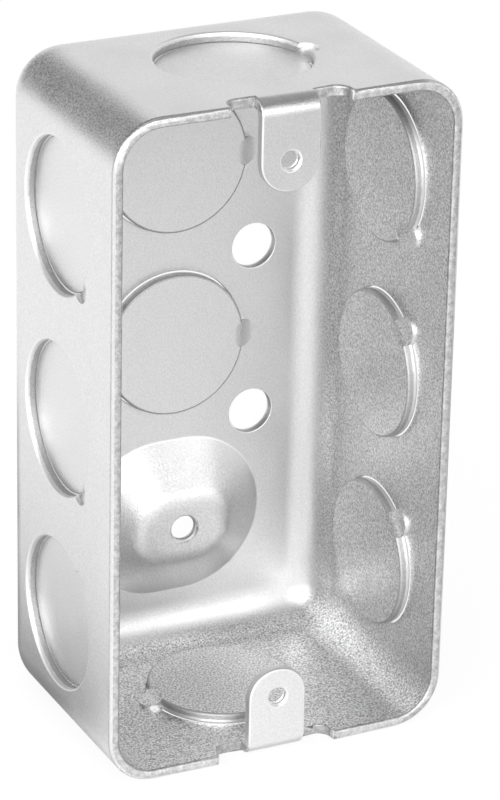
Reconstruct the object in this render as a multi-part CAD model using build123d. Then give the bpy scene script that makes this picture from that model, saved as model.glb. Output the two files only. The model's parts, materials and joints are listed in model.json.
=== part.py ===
from build123d import *
from math import atan2, tan
import os

# Drawn steel box, standing on one end with its open face toward -Y
box_height = 101.6
box_width = 54.0
inside_depth = 38.1
sheet = 1.6
inside_bend = 5.8  # every bend of the drawn pan, measured inside
edge_break = 0.3  # bevel along the cut edges of the rim and the ears

# Knockouts: discs sheared out of the sheet, pushed inward, each left hanging on one tie
knockout_diameter = 22.8
shear_gap = 0.2
knockout_lift = 1.5
side_margin = 1.0  # flat left between the outermost side knockouts and the end bends
back_margin = 2.8  # flat left above the upper knockout of the back
tie_radius = 2.1
tie_ramp = 3.6
tie_step = 0.45  # the lobe's end stands this far off the wall, partly sheared along its arc
side_tie_slope = 45.0  # side ties lie this far above or below the line to the rim

# Ears folded in from the two ends, tapped for the device screws
ear_width = 9.2
ear_reach = 9.15  # from the outside of the end in to the screw
ear_setback = 0.2
inside_fold = 1.0
device_bore = 2.9
thread_chamfer = 0.3
relief_width = 4.6
relief_depth = 2.9
relief_corner = 1.8
relief_mouth = 0.8  # rounding where a relief cut opens through the rim

# Raised ground boss in the back, tapped for the bonding screw
boss_margin = 2.1  # flat left below the boss
boss_straight = 4.4
boss_foot_radius = 12.6
boss_crown_radius = 4.8
boss_rise = 5.3
boss_round = 6.0
ground_bore = 4.2

# Plain holes in the back for the mounting screws
mounting_hole = 7.1
mounting_pitch = 27.0
mounting_offset = 13.3

box_depth = inside_depth + sheet
outside_bend = inside_bend + sheet
rim_y = -box_depth / 2
back_y = box_depth / 2
middle_z = box_height / 2
flat_half = middle_z - outside_bend
hole_radius = knockout_diameter / 2
disc_radius = hole_radius - shear_gap
side_pitch = flat_half - side_margin - hole_radius
back_pitch = flat_half - back_margin - hole_radius
boss_drop = flat_half - boss_margin - boss_foot_radius


def pan(width, height, depth, bend):
    block = Pos(0, back_y - depth / 2, middle_z) * Box(width, depth, height)
    back_edges = block.faces().sort_by(Axis.Y)[-1].edges()
    return fillet(block.edges().filter_by(Axis.Y) + back_edges, bend)


def drawn_shell():
    outer = pan(box_width, box_height, box_depth, outside_bend)
    inner = pan(box_width - 2 * sheet, box_height - 2 * sheet, box_depth, inside_bend)
    shell = outer - Pos(0, -sheet, 0) * inner
    rim = shell.faces().sort_by(Axis.Y)[0]
    return chamfer(rim.edges(), edge_break)


def upright(radius, low, high):
    return Pos(0, 0, low) * Cylinder(radius, high - low, align=(Align.CENTER, Align.CENTER, Align.MIN))


# A knockout is drawn with its wall's outer face at Z = 0, inward up and its tie toward +X
def knockout_opening():
    lobe = Pos(hole_radius, 0, 0) * upright(tie_radius, -sheet, 2 * sheet)
    return upright(hole_radius, -sheet, 2 * sheet) + lobe


def tie():
    ramp_start = hole_radius - tie_ramp / 2
    ramp_end = hole_radius + tie_ramp / 2
    near = hole_radius - 2 * tie_radius
    far = hole_radius + 2 * tie_radius
    sides = []
    for level in (0, sheet):
        raised = level + knockout_lift
        lowered = level + tie_step
        middle = (hole_radius, (raised + lowered) / 2)
        sides.append(
            Line((near, raised), (ramp_start, raised))
            + TangentArc((ramp_start, raised), middle, tangent=(1, 0))
            + TangentArc((ramp_end, lowered), middle, tangent=(-1, 0))
            + Line((ramp_end, lowered), (far, lowered))
        )
    ends = [Line(sides[0] @ place, sides[1] @ place) for place in (0, 1)]
    section = Plane.XZ * make_face(sides + ends)
    band = extrude(section, 2 * tie_radius, both=True)
    return band & Pos(hole_radius, 0, 0) * upright(tie_radius, -sheet, knockout_lift + 2 * sheet)


def knockout_disc():
    disc = upright(disc_radius, knockout_lift, knockout_lift + sheet)
    lobe = Pos(hole_radius, 0, 0) * upright(tie_radius, 0, knockout_lift + 2 * sheet)
    return disc - lobe + tie()


def knockout_places():
    wall_y = rim_y + inside_depth / 2
    places = []
    for side in (-1, 1):
        for step in (-1, 0, 1):
            rise = -step if step else side
            toward_tie = Vector(0, -1, 0).rotate(Axis.X, -rise * side_tie_slope)
            centre = (side * box_width / 2, wall_y, middle_z + step * side_pitch)
            places.append(Plane(centre, x_dir=toward_tie, z_dir=(-side, 0, 0)))
        end_centre = (0, wall_y, middle_z + side * box_height / 2)
        places.append(Plane(end_centre, x_dir=(side, 0, 0), z_dir=(0, 0, -side)))
    for step in (0, 1):
        centre = (0, back_y, middle_z + step * back_pitch)
        places.append(Plane(centre, x_dir=(1, 0, 0), z_dir=(0, -1, 0)))
    return places


# Folded ear at the upper end, with the relief cuts beside it; the lower end mirrors it
def ear_relief():
    width = ear_width + 2 * relief_width
    notch = Rectangle(width, 2 * relief_depth)
    notch = fillet(notch.vertices().group_by(Axis.Y)[-1], relief_corner)
    mouth = Pos(0, relief_mouth / 2) * Rectangle(width + 2 * relief_mouth, relief_mouth)
    for side in (-1, 1):
        mouth -= Pos(side * (width / 2 + relief_mouth), relief_mouth) * Circle(relief_mouth)
    outline = notch + mouth
    return Pos(0, rim_y, box_height - 2 * sheet) * extrude(outline, 4 * sheet)


def ear():
    face_y = rim_y + ear_setback
    root_y = rim_y + relief_depth + sheet
    hole_z = box_height - ear_reach
    fold = Polyline(
        (root_y, box_height),
        (face_y, box_height),
        (face_y, hole_z),
        (face_y + sheet, hole_z),
        (face_y + sheet, box_height - sheet),
        (root_y, box_height - sheet),
        close=True,
    )
    section = make_face(Plane.YZ * fold)
    corner_points = ((0, face_y, box_height), (0, face_y + sheet, box_height - sheet))
    for point, radius in zip(corner_points, (inside_fold + sheet, inside_fold)):
        corner = section.vertices().sort_by_distance(point)[0]
        section = fillet(corner, radius)
    strip = extrude(section, ear_width / 2, both=True)
    lug = Pos(0, face_y, hole_z) * extrude(Plane.XZ * Circle(ear_width / 2), -sheet)
    blank = strip + lug
    front = blank.faces().sort_by(Axis.Y)[0]
    cut_edges = front.edges().sort_by(Axis.Z)[:-1]
    return chamfer(cut_edges, edge_break)


def tapped_hole(bore, length):
    mouth = bore / 2 + thread_chamfer
    hole = Cylinder(bore / 2, length)
    for end in (-1, 1):
        flare = Cone(bore / 2, mouth, thread_chamfer)
        place = Pos(0, 0, end * (length - thread_chamfer) / 2)
        hole += place * (flare if end > 0 else Rot(180, 0, 0) * flare)
    return hole


# Ground boss: a slot-shaped frustum pressed inward, drawn with the back's outer face at Z = 0
def boss_frustum(inset, base, rise, round_over):
    foot = SlotCenterToCenter(boss_straight, 2 * (boss_foot_radius - inset))
    crown = SlotCenterToCenter(boss_straight, 2 * (boss_crown_radius - inset))
    frustum = loft([Pos(0, 0, base) * foot, Pos(0, 0, base + rise) * crown], ruled=True)
    return fillet(frustum.faces().sort_by(Axis.Z)[-1].edges(), round_over)


def ground_boss():
    slope = atan2(boss_rise, boss_foot_radius - boss_crown_radius)
    inset = sheet * tan(slope / 2)
    dome = boss_frustum(0, sheet, boss_rise, boss_round)
    recess = boss_frustum(inset, 0, boss_rise, boss_round - sheet)
    return dome, recess


def mirrored_ends(shape):
    return [shape, mirror(shape, about=Plane.XY.offset(middle_z))]


shell = drawn_shell()
opening = knockout_opening()
disc = knockout_disc()
places = knockout_places()
body = shell - [place * opening for place in places]
body += [place * disc for place in places]
body -= mirrored_ends(ear_relief())
body += mirrored_ends(ear())

dome, recess = ground_boss()
boss_place = Plane((0, back_y, middle_z - boss_drop), x_dir=(1, 0, 0), z_dir=(0, -1, 0))
body += boss_place * dome
body -= boss_place * recess
ground_hole = Pos(0, 0, boss_rise + sheet / 2) * tapped_hole(ground_bore, sheet)
body -= boss_place * ground_hole

device_hole = Rot(90, 0, 0) * tapped_hole(device_bore, sheet)
ear_middle_y = rim_y + ear_setback + sheet / 2
body -= mirrored_ends(Pos(0, ear_middle_y, box_height - ear_reach) * device_hole)

for side in (-1, 1):
    place = Pos(mounting_offset, back_y - sheet / 2, middle_z + side * mounting_pitch / 2)
    body -= place * Rot(90, 0, 0) * Cylinder(mounting_hole / 2, 3 * sheet)

os.makedirs("parts", exist_ok=True)
export_step(body, "parts/handy_box.step")
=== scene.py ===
import json
from math import cos, pi, radians

import bmesh
import bpy
from mathutils import Matrix, Vector


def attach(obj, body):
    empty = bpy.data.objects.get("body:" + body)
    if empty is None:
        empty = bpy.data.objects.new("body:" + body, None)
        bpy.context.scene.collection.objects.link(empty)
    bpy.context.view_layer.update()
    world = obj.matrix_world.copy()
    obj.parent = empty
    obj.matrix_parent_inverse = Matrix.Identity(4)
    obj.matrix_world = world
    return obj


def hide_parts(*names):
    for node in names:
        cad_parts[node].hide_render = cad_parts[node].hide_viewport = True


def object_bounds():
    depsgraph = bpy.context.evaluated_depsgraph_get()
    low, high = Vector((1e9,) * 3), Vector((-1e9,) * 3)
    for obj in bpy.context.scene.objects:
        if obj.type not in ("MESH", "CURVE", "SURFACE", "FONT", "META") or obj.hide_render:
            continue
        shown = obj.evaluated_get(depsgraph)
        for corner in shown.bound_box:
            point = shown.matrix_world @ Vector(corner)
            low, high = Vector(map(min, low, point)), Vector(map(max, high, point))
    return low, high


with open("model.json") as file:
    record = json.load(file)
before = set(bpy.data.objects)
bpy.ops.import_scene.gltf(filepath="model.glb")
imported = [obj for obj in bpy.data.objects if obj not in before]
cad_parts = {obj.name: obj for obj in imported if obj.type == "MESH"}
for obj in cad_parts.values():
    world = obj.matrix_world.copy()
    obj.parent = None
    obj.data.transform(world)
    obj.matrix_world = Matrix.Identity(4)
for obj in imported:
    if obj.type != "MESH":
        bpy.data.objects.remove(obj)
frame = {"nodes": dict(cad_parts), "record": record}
cadLow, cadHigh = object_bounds()
print("frame loaded, box of", [round(1000 * side, 2) for side in cadHigh - cadLow], "mm")

mm = 0.001


def addNode(tree, kind, **settings):
    node = tree.nodes.new(kind)
    for name, value in settings.items():
        setattr(node, name, value)
    return node


def feed(tree, socket, value):
    if isinstance(value, bpy.types.NodeSocket):
        tree.links.new(value, socket)
    else:
        socket.default_value = value


def mathNode(tree, operation, first, second=None, third=None):
    node = addNode(tree, "ShaderNodeMath", operation=operation)
    for socket, value in zip(node.inputs, (first, second, third)):
        if value is not None:
            feed(tree, socket, value)
    return node.outputs[0]


def vectorNode(tree, operation, first, second=None):
    node = addNode(tree, "ShaderNodeVectorMath", operation=operation)
    for socket, value in zip(node.inputs, (first, second)):
        if value is not None:
            feed(tree, socket, value)
    return node.outputs["Value" if operation in ("LENGTH", "DOT_PRODUCT") else "Vector"]


def rangeNode(tree, value, fromLow, fromHigh, toLow, toHigh, smooth=False):
    node = addNode(tree, "ShaderNodeMapRange", interpolation_type="SMOOTHSTEP" if smooth else "LINEAR")
    for socket, item in zip(node.inputs, (value, fromLow, fromHigh, toLow, toHigh)):
        feed(tree, socket, item)
    return node.outputs[0]


def noiseNode(tree, vector, scale, detail, roughness=0.5):
    node = addNode(tree, "ShaderNodeTexNoise")
    tree.links.new(vector, node.inputs["Vector"])
    node.inputs["Scale"].default_value = scale
    node.inputs["Detail"].default_value = detail
    node.inputs["Roughness"].default_value = roughness
    return node.outputs["Fac"]


def mixColour(tree, factor, first, second):
    node = addNode(tree, "ShaderNodeMix", data_type="RGBA")
    for name, value in (("Factor_Float", factor), ("A_Color", first), ("B_Color", second)):
        socket = next(s for s in node.inputs if s.identifier == name)
        feed(tree, socket, value)
    return next(s for s in node.outputs if s.identifier == "Result_Color")


def mixShader(tree, factor, first, second):
    node = addNode(tree, "ShaderNodeMixShader")
    for socket, value in zip(node.inputs, (factor, first, second)):
        tree.links.new(value, socket)
    return node.outputs[0]


def shinyRay(tree, path):
    return mathNode(tree, "MAXIMUM", path.outputs["Is Glossy Ray"], path.outputs["Is Transmission Ray"])


def addObject(name, mesh, *materials):
    data = bpy.data.meshes.new(name)
    mesh.to_mesh(data)
    mesh.free()
    for material in materials:
        data.materials.append(material)
    piece = bpy.data.objects.new(name, data)
    bpy.context.scene.collection.objects.link(piece)
    return piece


# fine zinc grain, shared by the sheet and its sheared edges
grain = {
    "speckSize": 0.28 * mm,
    "speckDetail": 1.0,
    "fineSize": 0.15 * mm,
    "fineDetail": 0.0,
    "cloudSize": 8 * mm,
    "cloudDetail": 4.0,
    "cloudRough": 0.55,
    "cloudLow": 0.3,  # a cloud goes from low to high roughness between these levels
    "cloudHigh": 0.7,
}


def makeGrainGroup():
    group = bpy.data.node_groups.new("zincGrain", "ShaderNodeTree")
    sockets = group.interface
    sockets.new_socket("Fine Share", in_out="INPUT", socket_type="NodeSocketFloat")
    for name in ("Speck", "Cloud", "Height"):
        sockets.new_socket(name, in_out="OUTPUT", socket_type="NodeSocketFloat")
    entry = addNode(group, "NodeGroupInput")
    leave = addNode(group, "NodeGroupOutput")
    place = addNode(group, "ShaderNodeTexCoord").outputs["Object"]
    speck = noiseNode(group, place, 1 / grain["speckSize"], grain["speckDetail"])
    fine = noiseNode(group, place, 1 / grain["fineSize"], grain["fineDetail"])
    cloud = noiseNode(group, place, 1 / grain["cloudSize"], grain["cloudDetail"], grain["cloudRough"])
    height = mathNode(group, "MULTIPLY_ADD", fine, entry.outputs["Fine Share"], speck)
    for name, value in (("Speck", speck), ("Cloud", cloud), ("Height", height)):
        group.links.new(value, leave.inputs[name])
    return group


# where a point lies in the drawn pan: its depth below the outer face, how far round a bend,
# and how far from the rim and from the middle of the height
pan = {
    "bend": 7.4 * mm,
    "bendFull": 1.4 * mm,  # all bend, where the reach past the flats beats its largest step by this
    "sheet": 1.6 * mm,
    "lift": 1.5 * mm,
}
panSize = cadHigh - cadLow
panMiddle = Vector((0, cadLow.y, cadLow.z + panSize.z / 2))
panFlats = Vector((panSize.x / 2, panSize.y, panSize.z / 2)) - Vector((1, 1, 1)) * pan["bend"]


def depthBelow(point):
    past = [max(abs(place) - flat, 0) for place, flat in zip(point - panMiddle, panFlats)]
    return pan["bend"] - Vector(past).length


def makePanGroup():
    group = bpy.data.node_groups.new("panPlace", "ShaderNodeTree")
    for name in ("Depth", "Bend", "From Rim", "From Middle"):
        group.interface.new_socket(name, in_out="OUTPUT", socket_type="NodeSocketFloat")
    leave = addNode(group, "NodeGroupOutput")
    place = addNode(group, "ShaderNodeTexCoord").outputs["Object"]
    inward = vectorNode(group, "ABSOLUTE", vectorNode(group, "SUBTRACT", place, panMiddle))
    past = vectorNode(group, "MAXIMUM", vectorNode(group, "SUBTRACT", inward, panFlats), (0, 0, 0))
    reach = vectorNode(group, "LENGTH", past)
    pastAxes = addNode(group, "ShaderNodeSeparateXYZ")
    group.links.new(past, pastAxes.inputs[0])
    largest = mathNode(group, "MAXIMUM", pastAxes.outputs[0], pastAxes.outputs[1])
    largest = mathNode(group, "MAXIMUM", largest, pastAxes.outputs[2])
    turned = mathNode(group, "SUBTRACT", reach, largest)
    bend = rangeNode(group, turned, 0.0, pan["bendFull"], 0.0, 1.0, smooth=True)
    inwardAxes = addNode(group, "ShaderNodeSeparateXYZ")
    group.links.new(inward, inwardAxes.inputs[0])
    group.links.new(mathNode(group, "SUBTRACT", pan["bend"], reach), leave.inputs["Depth"])
    group.links.new(bend, leave.inputs["Bend"])
    group.links.new(inwardAxes.outputs[1], leave.inputs["From Rim"])
    group.links.new(inwardAxes.outputs[2], leave.inputs["From Middle"])
    return group


grainGroup = makeGrainGroup()
panGroup = makePanGroup()


def metalMaterial(name):
    material = bpy.data.materials.new(name)
    material.use_nodes = True
    shader = material.node_tree.nodes["Principled BSDF"]
    shader.inputs["Metallic"].default_value = 1.0
    return material, material.node_tree, shader


def addGrain(tree, fineShare):
    group = addNode(tree, "ShaderNodeGroup", node_tree=grainGroup)
    group.inputs["Fine Share"].default_value = fineShare
    return group.outputs


def addBump(tree, shader, height, depth):
    bump = addNode(tree, "ShaderNodeBump")
    bump.inputs["Distance"].default_value = depth
    bump.inputs["Strength"].default_value = 1.0
    tree.links.new(height, bump.inputs["Height"])
    tree.links.new(bump.outputs["Normal"], shader.inputs["Normal"])


def speckled(tree, colour, speck, share):
    swing = mathNode(tree, "SUBTRACT", speck, 0.5)
    tint = addNode(tree, "ShaderNodeVectorMath", operation="SCALE")
    feed(tree, tint.inputs[0], colour)
    tree.links.new(mathNode(tree, "MULTIPLY_ADD", swing, share, 1.0), tint.inputs["Scale"])
    return tint.outputs[0]


# the outside is smooth on its flats and grainier on its bends
outerZinc = {
    "colour": (0.74, 0.74, 0.74),
    "flatSpeck": 0.35,
    "bendSpeck": 1.80,
    "roughLow": 0.27,
    "roughHigh": 0.37,
    "fineShare": 0.35,
    "grainDepth": 0.035 * mm,
}

# the inside has more grain on its walls than on the flat back and the boss, and most on its two ends
innerZinc = {
    "colour": (0.71, 0.71, 0.71),
    "flatSpeck": 0.30,
    "wallSpeck": 1.80,
    "wallEnd": 34.0 * mm,  # the walls' grain fades from here to the back, both measured from the rim
    "backStart": 37.0 * mm,
    "endSpeck": 2.70,
    "endStart": 44.0 * mm,  # from the middle of the height
    "endFull": 47.0 * mm,
    "bossSpeck": 0.55,
    "bossFoot": 1.7 * mm,  # depths where the boss and the ties rise off the sheet
    "bossFull": 2.4 * mm,
    "bossFront": 31.0 * mm,  # the boss's finish comes in between these distances from the rim
    "bossBack": 32.0 * mm,
    "crownStart": 0.05 * mm,  # the boss's crown rises this far past the disc's far face
    "crownFull": 0.3 * mm,
    "tieSpeck": 0.5,
    "tiePaintedHighlight": 1.22,  # a tie's colour is lighter than the wall's, a painted highlight
    "tieStart": 0.9 * mm,  # a tie's finish fades out between these steps short of the disc's far face
    "tieEnd": 0.05 * mm,
    "roughLow": 0.38,
    "roughHigh": 0.46,
    "fineShare": 0.35,
    "grainDepth": 0.03 * mm,
}


def finishZinc(tree, shader, look, colour, share):
    grainOut = addGrain(tree, look["fineShare"])
    tree.links.new(speckled(tree, colour, grainOut["Speck"], share), shader.inputs["Base Color"])
    rough = rangeNode(tree, grainOut["Cloud"], grain["cloudLow"], grain["cloudHigh"],
                      look["roughLow"], look["roughHigh"])
    tree.links.new(rough, shader.inputs["Roughness"])
    addBump(tree, shader, grainOut["Height"], look["grainDepth"])


def makeOuterZinc():
    material, tree, shader = metalMaterial("outerZinc")
    bend = addNode(tree, "ShaderNodeGroup", node_tree=panGroup).outputs["Bend"]
    share = rangeNode(tree, bend, 0.0, 1.0, outerZinc["flatSpeck"], outerZinc["bendSpeck"])
    finishZinc(tree, shader, outerZinc, outerZinc["colour"], share)
    return material


def makeInnerZinc():
    material, tree, shader = metalMaterial("innerZinc")
    where = addNode(tree, "ShaderNodeGroup", node_tree=panGroup).outputs
    fromRim = where["From Rim"]
    wall = rangeNode(tree, fromRim, innerZinc["backStart"], innerZinc["wallEnd"], 0.0, 1.0, smooth=True)
    raised = rangeNode(tree, where["Depth"], innerZinc["bossFoot"], innerZinc["bossFull"], 0.0, 1.0)
    onBack = rangeNode(tree, fromRim, innerZinc["bossFront"], innerZinc["bossBack"], 0.0, 1.0)
    lift = pan["sheet"] + pan["lift"]
    belowDisc = rangeNode(tree, where["Depth"], lift - innerZinc["tieStart"], lift - innerZinc["tieEnd"],
                          1.0, 0.0)
    # ties lie between the wall and the disc, and the boss rises off the back
    onTie = mathNode(tree, "MULTIPLY", raised, belowDisc)
    smooth = mathNode(tree, "MULTIPLY", onTie, 1 - innerZinc["tieSpeck"])
    onBoss = mathNode(tree, "MULTIPLY", raised, onBack)
    smooth = mathNode(tree, "MAXIMUM", smooth, onBoss)
    drawn = mathNode(tree, "MULTIPLY", wall, mathNode(tree, "SUBTRACT", 1.0, smooth))
    onEnd = rangeNode(tree, where["From Middle"], innerZinc["endStart"], innerZinc["endFull"],
                      0.0, 1.0, smooth=True)
    drawnSpeck = rangeNode(tree, onEnd, 0.0, 1.0, innerZinc["wallSpeck"], innerZinc["endSpeck"])
    share = rangeNode(tree, drawn, 0.0, 1.0, innerZinc["flatSpeck"], drawnSpeck)
    onCrown = rangeNode(tree, where["Depth"], lift + innerZinc["crownStart"], lift + innerZinc["crownFull"],
                        0.0, 1.0)
    onCrown = mathNode(tree, "MULTIPLY", onCrown, onBack)
    share = mathNode(tree, "MULTIPLY_ADD", onCrown, innerZinc["bossSpeck"] - innerZinc["flatSpeck"], share)
    # painted highlight: the ties on the walls take a lighter colour than the wall
    tieHighlightMask = mathNode(tree, "MULTIPLY", onTie, mathNode(tree, "SUBTRACT", 1.0, onBack))
    plain = innerZinc["colour"] + (1,)
    bright = [innerZinc["tiePaintedHighlight"] * part for part in innerZinc["colour"]] + [1]
    finishZinc(tree, shader, innerZinc, mixColour(tree, tieHighlightMask, plain, bright), share)
    return material


# a sheared edge is smooth and bright on its outer part, where the punch burnished it, and torn behind;
# the foot of the boss has the bright finish too
shearedSteel = {
    "burnished": (0.84, 0.84, 0.84, 1),
    "torn": (0.50, 0.50, 0.50, 1),
    "rimDull": (0.43, 0.43, 0.43, 1),
    "rimBright": (0.62, 0.62, 0.62, 1),
    "endPaintedDull": (0.52, 0.52, 0.52, 1),  # painted light: the rim's colour is lighter along the two ends
    "endPaintedBright": (0.70, 0.70, 0.70, 1),
    "endStart": 44.0 * mm,  # from the middle of the height
    "endFull": 48.0 * mm,
    "endDepth": 0.9 * mm,  # from the rim
    "mottleLow": 0.35,
    "mottleHigh": 0.65,
    "speck": 0.5,
    "evenSpeck": 0.1,  # what a burnished edge has of the specks and the bump
    "evenBump": 0.2,
    "burnishRough": 0.48,
    "tornRough": 0.55,
    "burnishDepth": 0.62 * mm,
    "rimDepth": 4.5 * mm,  # the rim and the relief cuts end here, and the punched holes lie behind
    "waver": 0.35 * mm,
    "waverSize": 0.9 * mm,
    "waverDetail": 3.0,
    "waverRough": 0.6,
    "fade": 0.08 * mm,
    "fineShare": 0.6,
    "grainDepth": 0.03 * mm,
}


def makeShearedSteel():
    material, tree, shader = metalMaterial("shearedSteel")
    where = addNode(tree, "ShaderNodeGroup", node_tree=panGroup).outputs
    # a disc was cut with the wall and pushed in, so the depth starts again for it,
    # half way between the wall's inner face and the disc's outer face
    inSheet = mathNode(tree, "MODULO", where["Depth"], (pan["sheet"] + pan["lift"]) / 2)
    place = addNode(tree, "ShaderNodeTexCoord").outputs["Object"]
    wave = noiseNode(tree, place, 1 / shearedSteel["waverSize"],
                     shearedSteel["waverDetail"], shearedSteel["waverRough"])
    wavering = mathNode(tree, "MULTIPLY_ADD", wave, shearedSteel["waver"], inSheet)
    level = shearedSteel["burnishDepth"] + shearedSteel["waver"] / 2
    fade = shearedSteel["fade"]
    torn = rangeNode(tree, wavering, level - fade, level + fade, 0.0, 1.0, smooth=True)
    rim = shearedSteel["rimDepth"]
    offRim = rangeNode(tree, where["From Rim"], rim - fade, rim + fade, 0.0, 1.0)
    torn = mathNode(tree, "MULTIPLY", torn, offRim)
    onEar = rangeNode(tree, where["Depth"], pan["sheet"], pan["sheet"] + fade, 0.0, 1.0)
    offRim = mathNode(tree, "MAXIMUM", offRim, onEar)
    grainOut = addGrain(tree, shearedSteel["fineShare"])
    colour = mixColour(tree, torn, shearedSteel["burnished"], shearedSteel["torn"])
    mottle = rangeNode(tree, wave, shearedSteel["mottleLow"], shearedSteel["mottleHigh"],
                       0.0, 1.0, smooth=True)
    rimColour = mixColour(tree, mottle, shearedSteel["rimDull"], shearedSteel["rimBright"])
    # painted light: the rim takes a lighter colour along the top and bottom ends
    paintedEndColour = mixColour(tree, mottle, shearedSteel["endPaintedDull"], shearedSteel["endPaintedBright"])
    onEnd = rangeNode(tree, where["From Middle"], shearedSteel["endStart"], shearedSteel["endFull"],
                      0.0, 1.0)
    depth = shearedSteel["endDepth"]
    atRim = rangeNode(tree, where["From Rim"], depth - fade, depth + fade, 1.0, 0.0)
    rimColour = mixColour(tree, mathNode(tree, "MULTIPLY", onEnd, atRim), rimColour, paintedEndColour)
    colour = mixColour(tree, offRim, rimColour, colour)
    rough = rangeNode(tree, torn, 0.0, 1.0, shearedSteel["burnishRough"], shearedSteel["tornRough"])
    uneven = mathNode(tree, "MAXIMUM", torn, mathNode(tree, "SUBTRACT", 1.0, offRim))
    share = mathNode(tree, "MULTIPLY_ADD", uneven, shearedSteel["speck"], shearedSteel["evenSpeck"])
    tree.links.new(speckled(tree, colour, grainOut["Speck"], share), shader.inputs["Base Color"])
    tree.links.new(rough, shader.inputs["Roughness"])
    even = shearedSteel["evenBump"]
    bumpShare = mathNode(tree, "MULTIPLY_ADD", uneven, 1 - even, even)
    height = mathNode(tree, "MULTIPLY", grainOut["Height"], bumpShare)
    addBump(tree, shader, height, shearedSteel["grainDepth"])
    return material


outerMaterial = makeOuterZinc()
innerMaterial = makeInnerZinc()
shearedMaterial = makeShearedSteel()
print("materials made")

# the box is a merged copy of the CAD node with its sheared edges softened
boxSheet = {
    "mergeGap": 0.001 * mm,
    "flatTurn": radians(0.4),
    "sharpTurn": radians(24),
    "cutWidth": 1.7 * mm,  # a strip no wider than the sheet is a sheared edge
    "sliverWidth": 0.9 * mm,
    "bevelWidth": 0.3 * mm,
    "squareTurn": radians(60),
    "rolledRound": 0.35 * mm,
    "burrRound": 0.15 * mm,
    "footRound": 0.15 * mm,
    "roundSteps": 3,
    "rimBreak": 0.3 * mm,  # bevel that the rim has in the frame
    "rimRollBack": 0.50 * mm,
    "rimRollIn": 0.45 * mm,
    "rimRollStart": 10.5 * mm,  # half width left as it is, clear of the ear's relief cuts
    "tiny": 0.01 * mm,
}
outerSlot, shearedSlot, innerSlot = range(3)


def sheetRegions(mesh, sharpEdges):
    seen = set()
    for start in mesh.faces:
        if start in seen:
            continue
        seen.add(start)
        region, waiting = [], [start]
        while waiting:
            face = waiting.pop()
            region.append(face)
            for edge in face.edges:
                if edge in sharpEdges:
                    continue
                for other in edge.link_faces:
                    if other not in seen:
                        seen.add(other)
                        waiting.append(other)
        yield region


# the rim's outer edge is rolled, wider than the bevel that it has in the frame
def rollRim(mesh):
    small, tiny = boxSheet["rimBreak"], boxSheet["tiny"]
    flat = []
    for vert in mesh.verts:
        back, depth = vert.co.y - cadLow.y, depthBelow(vert.co)
        if back < tiny:
            flat.append(vert.index)
        byEar = abs(vert.co.x) < boxSheet["rimRollStart"]
        if byEar or back > small + tiny or depth > small + tiny:
            continue
        if back > small - tiny:
            vert.co.y = cadLow.y + boxSheet["rimRollBack"]
        elif depth > small - tiny:
            outward = vert.co - panMiddle
            for axis, bare in enumerate(panFlats):
                outward[axis] -= max(-bare, min(outward[axis], bare))
            vert.co -= outward.normalized() * (boxSheet["rimRollIn"] - small)
    for face in mesh.faces:
        middle = face.calc_center_median()
        back = middle.y - cadLow.y
        if tiny < back < boxSheet["rimRollBack"] and depthBelow(middle) < boxSheet["rimRollIn"] - tiny:
            face.material_index = outerSlot
    return flat


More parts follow.
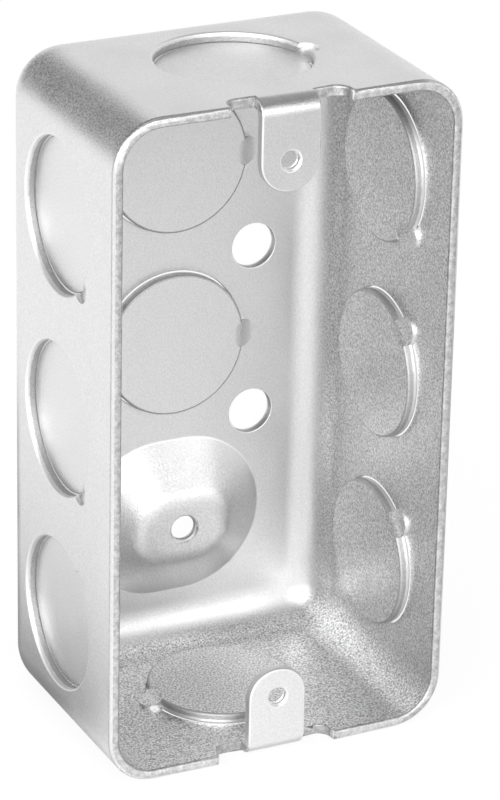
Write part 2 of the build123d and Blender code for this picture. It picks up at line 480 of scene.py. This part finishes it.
def makeBox():
    mesh = bmesh.new()
    mesh.from_mesh(frame["nodes"]["handy_box"].data)
    bmesh.ops.remove_doubles(mesh, verts=mesh.verts, dist=boxSheet["mergeGap"])
    bmesh.ops.dissolve_limit(mesh, angle_limit=boxSheet["flatTurn"], use_dissolve_boundaries=False,
                             verts=mesh.verts, edges=mesh.edges, delimit=set())
    sharpEdges = {edge for edge in mesh.edges if edge.calc_face_angle(0) > boxSheet["sharpTurn"]}
    middle = (cadLow + cadHigh) / 2
    width = {}
    for region in sheetRegions(mesh, sharpEdges):
        areas = [face.calc_area() for face in region]
        border = sum(edge.calc_length() for face in region for edge in face.edges if edge in sharpEdges)
        across = 2 * sum(areas) / border
        outward = sum(area * face.normal.dot(face.calc_center_median() - middle)
                      for area, face in zip(areas, region))
        finish = outerSlot if outward > 0 else innerSlot
        if across < boxSheet["cutWidth"]:
            finish = shearedSlot
        for face in region:
            width[face] = across
            face.material_index = finish
    # a punched edge is rolled over where the punch went in and on the disc's far face, with its tie,
    # and sharper between
    near, far = boxSheet["rolledRound"], pan["sheet"] + boxSheet["burrRound"]
    rolled, burred, creased = [], [], []
    for edge in mesh.edges:
        edge.smooth = edge not in sharpEdges
    for edge in sharpEdges:
        turn = edge.calc_face_angle(0)
        narrow = min(width[face] for face in edge.link_faces)
        if narrow > boxSheet["cutWidth"]:
            creased.append(edge)  # foot of the ground boss
        elif narrow > boxSheet["sliverWidth"] and turn > boxSheet["squareTurn"]:
            depth = depthBelow(edge.verts[0].co)
            (rolled if depth < near or depth > far else burred).append(edge)
        elif boxSheet["bevelWidth"] < narrow < boxSheet["sliverWidth"] and turn < boxSheet["squareTurn"]:
            edge.smooth = True  # the bevels of the rim and the ears shade as rounds
    for edges, size in ((rolled, "rolledRound"), (burred, "burrRound"), (creased, "footRound")):
        edges = [edge for edge in edges if edge.is_valid]
        made = bmesh.ops.bevel(mesh, geom=edges, offset=boxSheet[size], offset_type="OFFSET",
                               affect="EDGES", segments=boxSheet["roundSteps"], profile=0.5,
                               material=-1, clamp_overlap=False)
        for face in made["faces"]:
            face.material_index = shearedSlot
    bmesh.ops.dissolve_degenerate(mesh, dist=boxSheet["mergeGap"], edges=mesh.edges)
    for edge in mesh.edges:
        if edge.calc_face_angle(0) > boxSheet["squareTurn"]:
            edge.smooth = False
    for face in mesh.faces:
        face.smooth = True
    mesh.verts.index_update()
    rimVerts = set(rollRim(mesh))
    flatVerts = [vert.index for vert in mesh.verts if vert.index not in rimVerts]
    print("rounded", len(rolled), "rolled,", len(burred), "burred and", len(creased), "creased edges")
    box = addObject("boxShell", mesh, outerMaterial, shearedMaterial, innerMaterial)
    # flat faces shade flat, and the narrow bevels between them take up the turn; the rim shades round
    box.vertex_groups.new(name="flatVerts").add(flatVerts, 1.0, "REPLACE")
    normals = box.modifiers.new("flatFaces", "WEIGHTED_NORMAL")
    normals.keep_sharp = True
    normals.vertex_group = "flatVerts"
    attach(box, "root")
    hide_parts("handy_box")
    return box


box = makeBox()
print("box made,", len(box.data.polygons), "faces")

# screw threads in the two ears and the ground boss, each a ridge wound along its bore
thread = {
    "pitch": 0.794 * mm,
    "crest": 0.15 * mm,
    "root": 0.17 * mm,
    "halfWidth": 0.34 * mm,
    "turns": 1.5,
    "steps": 36,
}


def makeThread(name, centre, bore):
    mesh = bmesh.new()
    start = centre - Vector((0, thread["turns"] * thread["pitch"] / 2, 0))
    corners = ((bore + thread["root"], -thread["halfWidth"]),
               (bore - thread["crest"], 0),
               (bore + thread["root"], thread["halfWidth"]))
    ridge = mesh.faces.new([mesh.verts.new(start + Vector((out, along, 0))) for out, along in corners])
    steps = int(thread["turns"] * thread["steps"])
    climb = Vector((0, thread["pitch"] / thread["steps"], 0))
    bmesh.ops.spin(mesh, geom=[ridge], cent=centre, axis=(0, 1, 0), dvec=climb,
                   angle=2 * pi * thread["turns"], steps=steps, use_merge=False, use_duplicate=False)
    bmesh.ops.recalc_face_normals(mesh, faces=mesh.faces)
    piece = addObject(name, mesh, shearedMaterial)
    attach(piece, "root")


def makeThreads():
    mounts = {mount["name"]: mount for mount in frame["record"]["mounts"]}
    ears = mounts["device_ears"]
    face = Vector(ears["pos_m"]) + Vector((0, pan["sheet"] / 2, 0))
    spread = ears["dims"]["spacing_y_mm"] * mm / 2
    for name, side in (("upperEarThread", 1), ("lowerEarThread", -1)):
        makeThread(name, face + Vector((0, 0, side * spread)), ears["dims"]["hole_r_mm"] * mm)
    ground = mounts["ground_hole"]
    makeThread("groundThread", Vector(ground["pos_m"]), ground["dims"]["r_mm"] * mm)


makeThreads()
print("threads wound")

# white floor, with painted light and shade in its reflections: its glow there falls off toward the front
# beside a painted bright lane, drops a little behind the box, and darkens in painted shadows of the box
studio = {
    "floorSize": 6.0,
    "floorColour": (0.9, 0.9, 0.9, 1),
    "seenGlow": 0.88,  # share of plain white that the camera sees, the rest takes the shadow
    "mirrorGlow": 0.60,  # the same share in reflections
    "farFront": -0.22,
    "nearFront": -0.05,
    "nearBack": 0.08,
    "farLevel": 0.40,
    "nearLevel": 1.16,
    "backLevel": 1.11,
    "laneMiddle": -0.022,
    "laneInner": 0.012,
    "laneOuter": 0.045,
    "laneLevel": 1.43,
    "shadeFront": -0.02,
    "shadeBack": 0.01,
    "frontCover": 0.4,
}

# painted shadows of the box in the floor's reflections: where it stands, behind it and away to its right
shades = {
    "underneath": {"shift": (0, 0.0008, 0), "longer": (0, 0, 0), "reach": 0.0012, "level": 0.15},
    "behind": {"shift": (0, 0.045, 0), "longer": (0, 0.045, 0), "reach": 0.036, "level": 0.20},
    "right": {"shift": (0.12, 0.05, 0), "longer": (0, 0, 0), "reach": 0.10, "level": 0.30},
}


def paintedFootShade(tree, place, look):
    shift = Vector(look["shift"])
    foot = Vector((cadHigh.x, cadHigh.y, 1)) - Vector((1, 1, 0)) * pan["bend"] + Vector(look["longer"])
    aside = vectorNode(tree, "ABSOLUTE", vectorNode(tree, "SUBTRACT", place, shift))
    away = vectorNode(tree, "MAXIMUM", vectorNode(tree, "SUBTRACT", aside, foot), (0, 0, 0))
    away = mathNode(tree, "SUBTRACT", vectorNode(tree, "LENGTH", away), pan["bend"])
    return rangeNode(tree, away, 0.0, look["reach"], 1 - look["level"], 0.0, smooth=True)


def makeFloor():
    mesh = bmesh.new()
    bmesh.ops.create_grid(mesh, x_segments=1, y_segments=1, size=studio["floorSize"] / 2)
    floor = addObject("floor", mesh)
    material = bpy.data.materials.new("paleFloor")
    material.use_nodes = True
    tree = material.node_tree
    tree.nodes.clear()
    out = addNode(tree, "ShaderNodeOutputMaterial")
    diffuse = addNode(tree, "ShaderNodeBsdfDiffuse")
    diffuse.inputs["Color"].default_value = studio["floorColour"]
    path = addNode(tree, "ShaderNodeLightPath")
    shiny = shinyRay(tree, path)
    place = addNode(tree, "ShaderNodeTexCoord").outputs["Object"]
    axes = addNode(tree, "ShaderNodeSeparateXYZ")
    tree.links.new(place, axes.inputs[0])
    across, along = axes.outputs[0], axes.outputs[1]
    # painted light in the floor's reflections: the glow falls off toward the front and rises in a bright
    # lane
    level = rangeNode(tree, along, studio["farFront"], studio["nearFront"],
                      studio["farLevel"], studio["nearLevel"], smooth=True)
    aside = mathNode(tree, "ABSOLUTE", mathNode(tree, "SUBTRACT", across, studio["laneMiddle"]))
    lane = rangeNode(tree, aside, studio["laneOuter"], studio["laneInner"], 0.0, 1.0, smooth=True)
    lift = mathNode(tree, "MULTIPLY", lane, mathNode(tree, "SUBTRACT", studio["laneLevel"], level))
    front = rangeNode(tree, along, 0.0, studio["nearFront"], 0.0, 1.0, smooth=True)
    level = mathNode(tree, "MULTIPLY_ADD", lift, front, level)
    change = studio["backLevel"] - studio["nearLevel"]
    behind = rangeNode(tree, along, studio["nearFront"], studio["nearBack"], 0.0, change, smooth=True)
    level = mathNode(tree, "ADD", level, behind)
    back = rangeNode(tree, along, studio["shadeFront"], studio["shadeBack"], 0.0, 1.0, smooth=True)
    shade = mathNode(tree, "MULTIPLY", paintedFootShade(tree, place, shades["behind"]), back)
    shade = mathNode(tree, "MAXIMUM", shade, paintedFootShade(tree, place, shades["right"]))
    # the painted shade underneath is lighter toward the front edge, where light comes in under it
    covered = rangeNode(tree, along, cadLow.y, cadHigh.y, studio["frontCover"], 1.0)
    under = mathNode(tree, "MULTIPLY", paintedFootShade(tree, place, shades["underneath"]), covered)
    shade = mathNode(tree, "MAXIMUM", shade, under)
    level = mathNode(tree, "MULTIPLY", level, mathNode(tree, "SUBTRACT", 1.0, shade))
    mirrored = mathNode(tree, "MULTIPLY", shiny, level)
    strength = mathNode(tree, "MAXIMUM", path.outputs["Is Camera Ray"], mirrored)
    glow = addNode(tree, "ShaderNodeEmission")
    glow.inputs["Color"].default_value = (1, 1, 1, 1)
    tree.links.new(strength, glow.inputs["Strength"])
    share = mathNode(tree, "MULTIPLY_ADD", shade, 1 - studio["mirrorGlow"], studio["mirrorGlow"])
    share = mathNode(tree, "MULTIPLY", shiny, share)
    share = mathNode(tree, "MULTIPLY_ADD", path.outputs["Is Camera Ray"], studio["seenGlow"], share)
    surface = mixShader(tree, share, diffuse.outputs[0], glow.outputs[0])
    tree.links.new(surface, out.inputs["Surface"])
    floor.data.materials.append(material)


# white all round for the camera; in reflections it has a darker ceiling and one dark patch
surroundings = {
    "white": 0.93,  # level in reflections
    "fill": 0.85,  # light on the floor from all round
    "ceiling": 0.22,
    "ceilingStart": 0.60,
    "ceilingFull": 0.76,
    "darkToward": (-0.40, 0.82, 0.41),
    "darkLevel": 0.36,
    "darkInner": cos(radians(16)),
    "darkOuter": cos(radians(38)),
}


def addBackground(tree, strength):
    background = addNode(tree, "ShaderNodeBackground")
    background.inputs["Color"].default_value = (1, 1, 1, 1)
    feed(tree, background.inputs["Strength"], strength)
    return background.outputs[0]


def makeWorld():
    world = bpy.data.worlds.new("softStudio")
    bpy.context.scene.world = world
    world.use_nodes = True
    tree = world.node_tree
    tree.nodes.clear()
    out = addNode(tree, "ShaderNodeOutputWorld")
    path = addNode(tree, "ShaderNodeLightPath")
    direction = addNode(tree, "ShaderNodeTexCoord").outputs["Generated"]
    toward = vectorNode(tree, "DOT_PRODUCT", direction, Vector(surroundings["darkToward"]).normalized())
    shade = rangeNode(tree, toward, surroundings["darkOuter"], surroundings["darkInner"],
                      1.0, surroundings["darkLevel"], smooth=True)
    axes = addNode(tree, "ShaderNodeSeparateXYZ")
    tree.links.new(direction, axes.inputs[0])
    overhead = rangeNode(tree, axes.outputs[2], surroundings["ceilingStart"], surroundings["ceilingFull"],
                         surroundings["white"], surroundings["ceiling"], smooth=True)
    glossy = mathNode(tree, "MULTIPLY", shade, overhead)
    soft = addBackground(tree, surroundings["fill"])
    mirrored = addBackground(tree, glossy)
    seen = addBackground(tree, 1.0)
    unseen = mixShader(tree, shinyRay(tree, path), soft, mirrored)
    surface = mixShader(tree, path.outputs["Is Camera Ray"], unseen, seen)
    tree.links.new(surface, out.inputs["Surface"])


lamps = {
    "frontSoftbox": {"place": (-0.44, -0.73, 0.58), "width": 3.2, "height": 0.90, "power": 9.6},
    "frontMiddle": {"place": (-0.50, -0.69, 0.58), "width": 2.3, "height": 0.56, "power": 1.2},
    "leftSoftbox": {"place": (-0.70, -0.64, 0.34), "width": 1.0, "height": 0.65, "power": 3.4},
    "overhead": {"place": (-0.1, 0.15, 1.2), "width": 1.2, "height": 1.2, "power": 1.1},
}


def makeLamps(target):
    for name, look in lamps.items():
        data = bpy.data.lights.new(name, "AREA")
        data.shape = "ELLIPSE"
        data.size = look["width"]
        data.size_y = look["height"]
        data.energy = look["power"]
        lamp = bpy.data.objects.new(name, data)
        bpy.context.scene.collection.objects.link(lamp)
        lamp.location = look["place"]
        lamp.rotation_mode = "QUATERNION"
        lamp.rotation_quaternion = (target - lamp.location).to_track_quat("-Z", "Y")


makeFloor()
makeWorld()
makeLamps((cadLow + cadHigh) / 2)
print("stage set")

# camera fitted to the photograph
camera = {
    "place": (-232.89 * mm, -476.51 * mm, 280.36 * mm),
    "forward": (0.4082, 0.8205, -0.4002),
    "right": (0.8990, -0.4376, 0.0197),
    "sensor": 24.0,
    "lens": 118.78,
    "nearest": 0.01,
    "farthest": 20,
}


def makeCamera():
    data = bpy.data.cameras.new("camera")
    data.sensor_fit = "VERTICAL"
    data.sensor_height = camera["sensor"]
    data.lens = camera["lens"]
    data.clip_start = camera["nearest"]
    data.clip_end = camera["farthest"]
    eye = bpy.data.objects.new("camera", data)
    bpy.context.scene.collection.objects.link(eye)
    forward = Vector(camera["forward"]).normalized()
    right = Vector(camera["right"])
    right = (right - forward * right.dot(forward)).normalized()
    up = right.cross(forward)
    turn = Matrix((right, up, -forward)).transposed().to_4x4()
    eye.matrix_world = Matrix.Translation(camera["place"]) @ turn
    bpy.context.scene.camera = eye


makeCamera()
bpy.context.scene.view_settings.view_transform = "Standard"
print("camera set")
